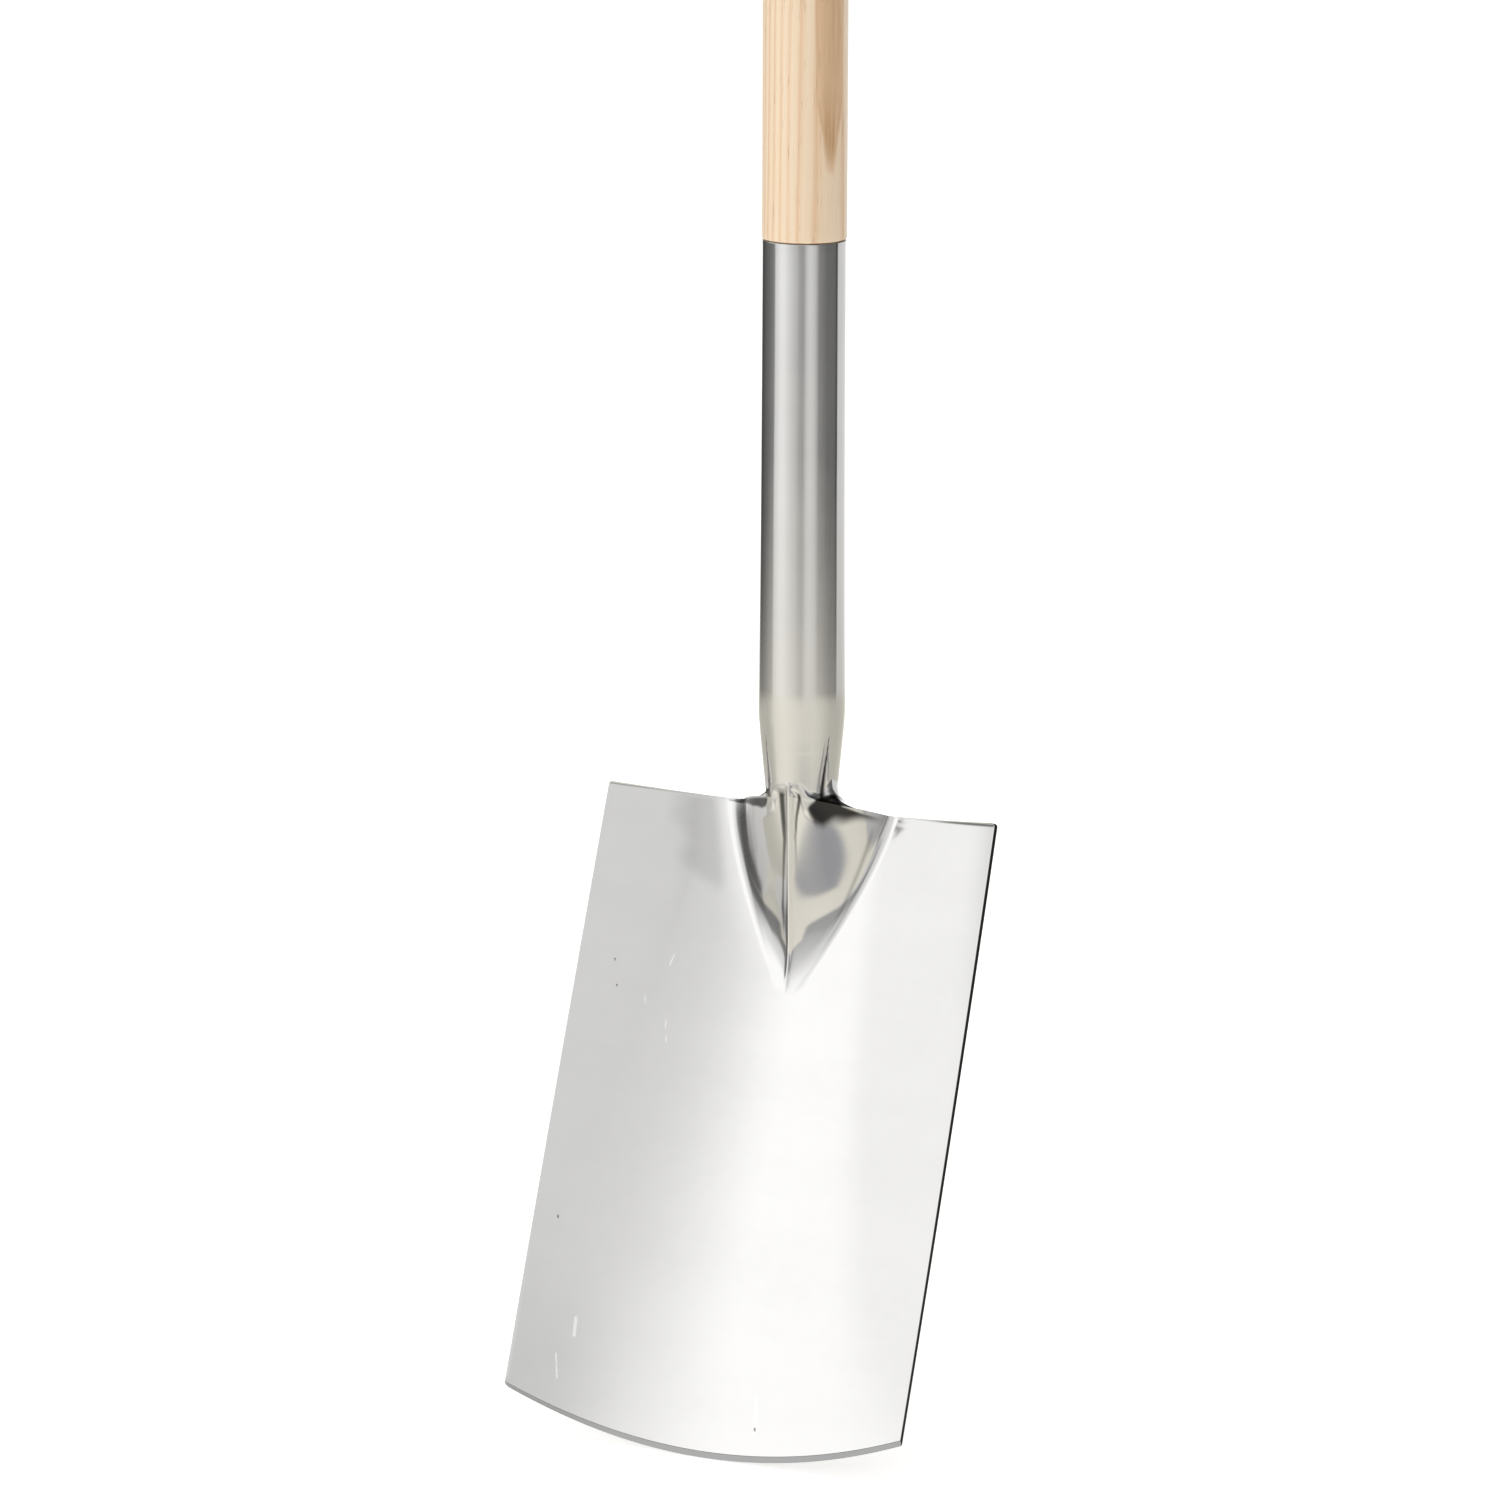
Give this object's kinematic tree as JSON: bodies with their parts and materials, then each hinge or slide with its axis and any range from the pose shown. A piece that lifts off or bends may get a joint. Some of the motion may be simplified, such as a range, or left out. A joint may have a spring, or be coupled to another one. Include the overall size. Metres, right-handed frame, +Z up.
{
  "type": "garden spade",
  "caption": "Digging spade: polished stainless steel blade with a pressed V ridge and tubular socket, cranked forward of a straight ash shaft with a split D hand grip.",
  "frame": {"origin": "middle of the bottom of the box around the spade, level with the lowest point of the cutting edge", "axes": "+Z up along the shaft to the hand grip; the hollow soil face looks towards -Y; +X across the blade, to the right of someone facing the soil face; the spade is a mirror image of itself about X = 0"},
  "size_m": [0.1934, 0.1156, 1.0171],
  "materials": {
    "polished_steel": "mirror-polished stainless steel with fine buffing marks",
    "ash": "clear-lacquered pale ash, straight grain along the shaft",
    "fastener_steel": "plain steel, peened heads"
  },
  "bodies": {
    "root": {"blade": "polished_steel", "back_plate": "polished_steel", "socket": "polished_steel", "shaft": "ash", "grip_bar": "ash", "grip_rivet": "fastener_steel", "grip_washer_left": "fastener_steel", "grip_washer_right": "fastener_steel", "throat_rivet": "fastener_steel", "throat_washer_left": "fastener_steel", "throat_washer_right": "fastener_steel", "socket_rivet_upper": "fastener_steel", "socket_rivet_lower": "fastener_steel"}
  },
  "joints": []
}
